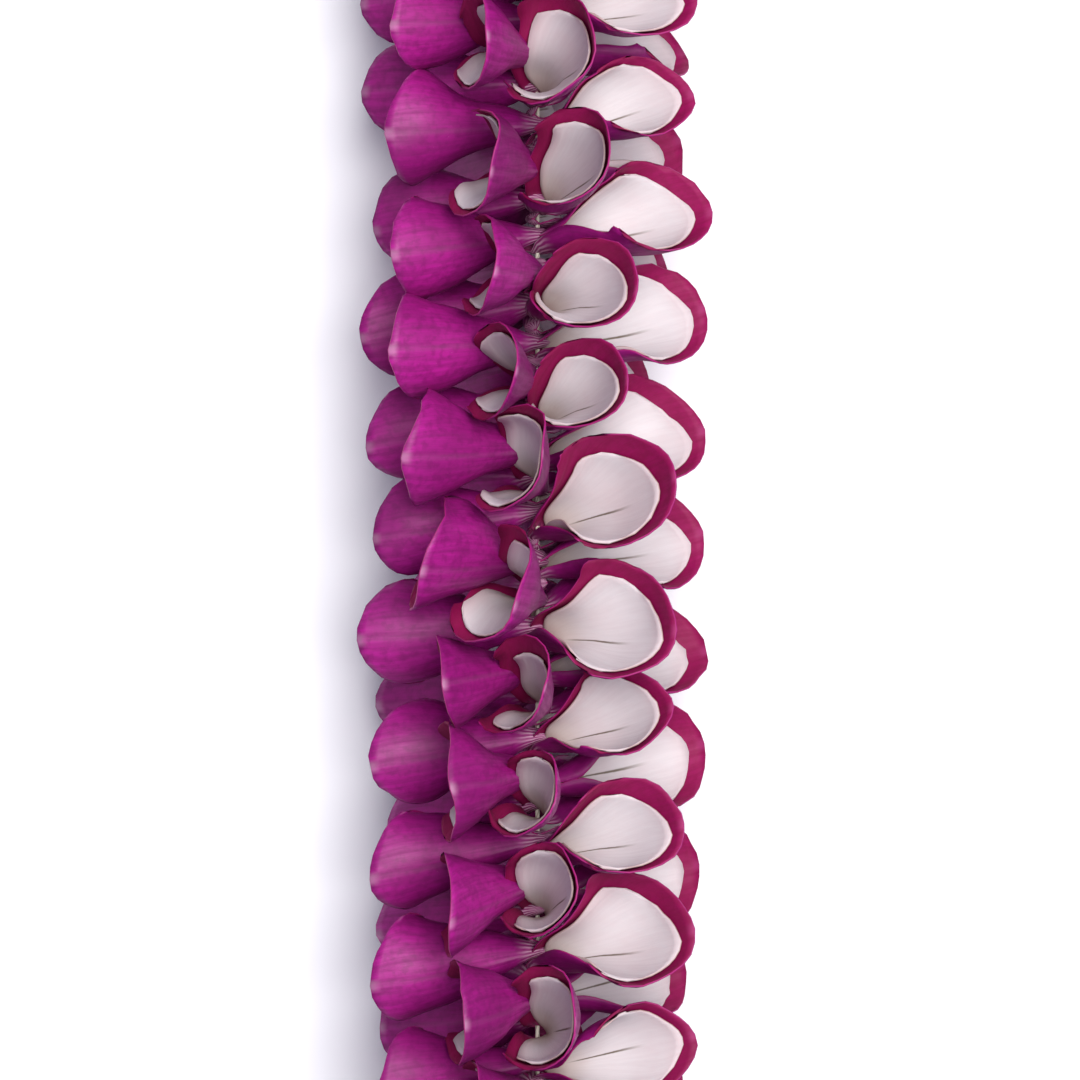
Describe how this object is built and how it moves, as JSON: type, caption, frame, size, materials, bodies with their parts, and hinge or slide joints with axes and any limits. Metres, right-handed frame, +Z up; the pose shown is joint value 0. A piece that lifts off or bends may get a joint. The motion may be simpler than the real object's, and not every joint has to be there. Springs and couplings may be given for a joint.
{
  "type": "flower lei",
  "caption": "Closed loop of nested magenta and white orchid petals threaded on a knotted string, lying flat on a surface.",
  "frame": {"origin": "centre of the loop, on the surface that the lei lies on", "axes": "+Z up, +Y along the loop's two straight sides"},
  "size_m": [0.2282, 0.4858, 0.0651],
  "materials": {
    "magenta_petal": "waxy satin petal",
    "white_petal": "soft satin petal",
    "string": "twisted cotton"
  },
  "bodies": {
    "root": {"petal_round_01": "magenta_petal", "petal_round_02": "magenta_petal", "petal_round_03": "magenta_petal", "petal_round_04": "magenta_petal", "petal_round_05": "magenta_petal", "petal_round_06": "magenta_petal", "petal_round_07": "magenta_petal", "petal_round_08": "magenta_petal", "petal_round_09": "magenta_petal", "petal_round_10": "magenta_petal", "petal_round_11": "magenta_petal", "petal_round_12": "magenta_petal", "petal_round_13": "magenta_petal", "petal_round_14": "magenta_petal", "petal_round_15": "magenta_petal", "petal_round_16": "magenta_petal", "petal_round_17": "magenta_petal", "petal_round_18": "magenta_petal", "petal_round_19": "magenta_petal", "petal_round_20": "magenta_petal", "petal_round_21": "magenta_petal", "petal_round_22": "magenta_petal", "petal_round_23": "magenta_petal", "petal_round_24": "magenta_petal", "petal_round_25": "magenta_petal", "petal_round_26": "magenta_petal", "petal_round_27": "magenta_petal", "petal_round_28": "magenta_petal", "petal_round_29": "magenta_petal", "petal_round_30": "magenta_petal", "petal_round_31": "magenta_petal", "petal_round_32": "magenta_petal", "petal_round_33": "magenta_petal", "petal_round_34": "magenta_petal", "petal_round_35": "magenta_petal", "petal_round_36": "magenta_petal", "petal_round_37": "magenta_petal", "petal_round_38": "magenta_petal", "petal_round_39": "magenta_petal", "petal_round_40": "magenta_petal", "petal_round_41": "magenta_petal", "petal_round_42": "magenta_petal", "petal_round_43": "magenta_petal", "petal_round_44": "magenta_petal", "petal_round_45": "magenta_petal", "petal_round_46": "magenta_petal", "petal_round_47": "magenta_petal", "petal_pair_last": "white_petal", "string": "string", "knot": "string"}
  },
  "joints": []
}
